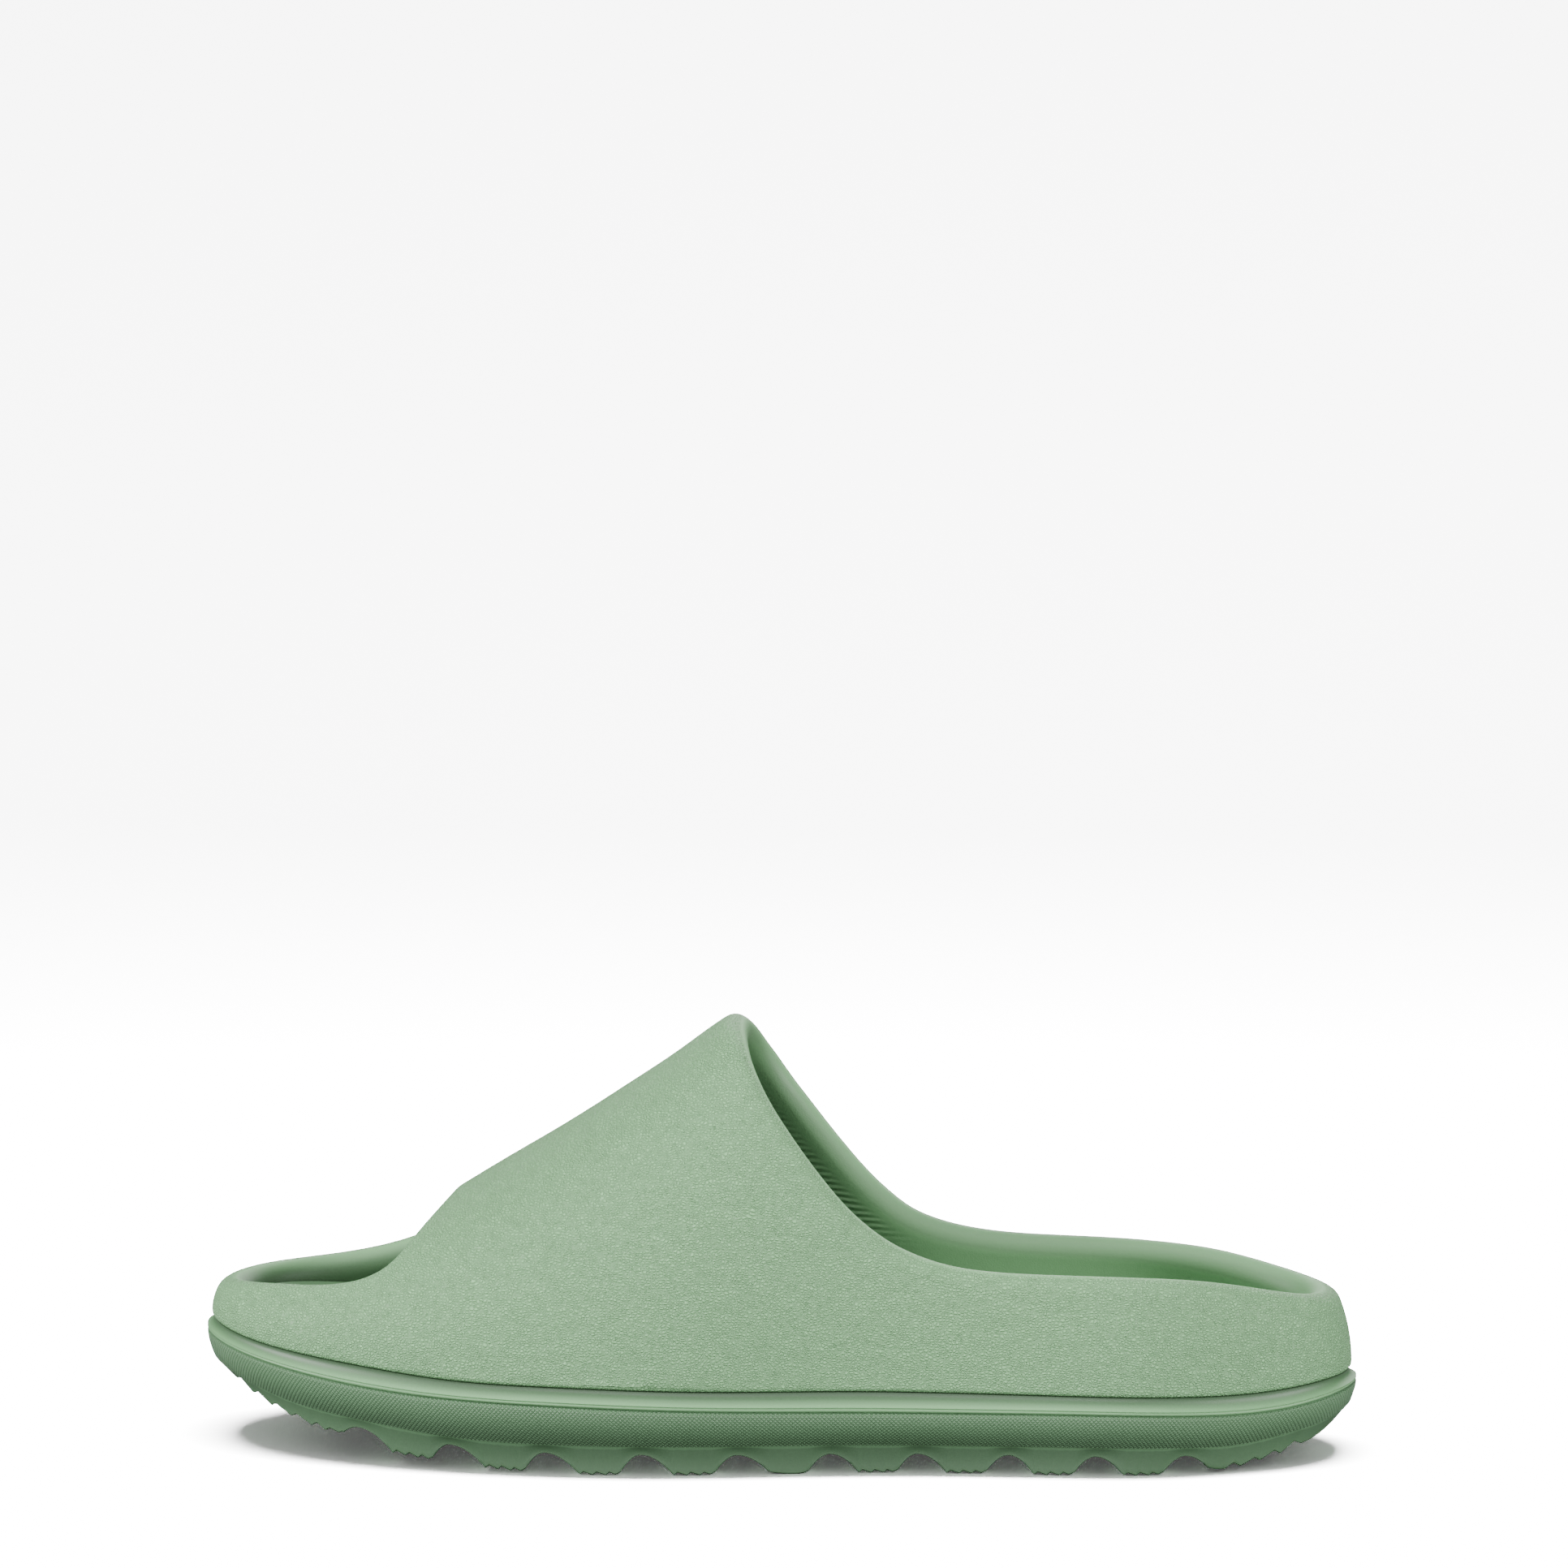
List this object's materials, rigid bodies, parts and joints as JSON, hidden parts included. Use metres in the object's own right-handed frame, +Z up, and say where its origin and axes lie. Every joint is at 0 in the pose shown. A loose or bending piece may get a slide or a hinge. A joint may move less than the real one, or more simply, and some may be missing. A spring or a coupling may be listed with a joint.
{
  "type": "slide sandal",
  "caption": "Moulded foam slide sandal with a hollow closed strap upper, open toe and collar, a raised side band and a lugged outsole.",
  "frame": {"origin": "middle of the footprint's bounding box on the floor, under the lowest lugs", "axes": "+X from toe to heel, +Y to the medial (inner) side of a left shoe, +Z up"},
  "size_m": [0.29, 0.109, 0.1073],
  "materials": {
    "outsole": "satin moulded foam with a fine diamond texture on the side wall",
    "midsole": "smooth satin moulded foam",
    "insole": "matt moulded foam",
    "upper": "matt moulded foam with a pebbled leather grain"
  },
  "bodies": {
    "root": {"outsole": "outsole", "midsole": "midsole", "insole": "insole", "upper": "upper"}
  },
  "joints": []
}
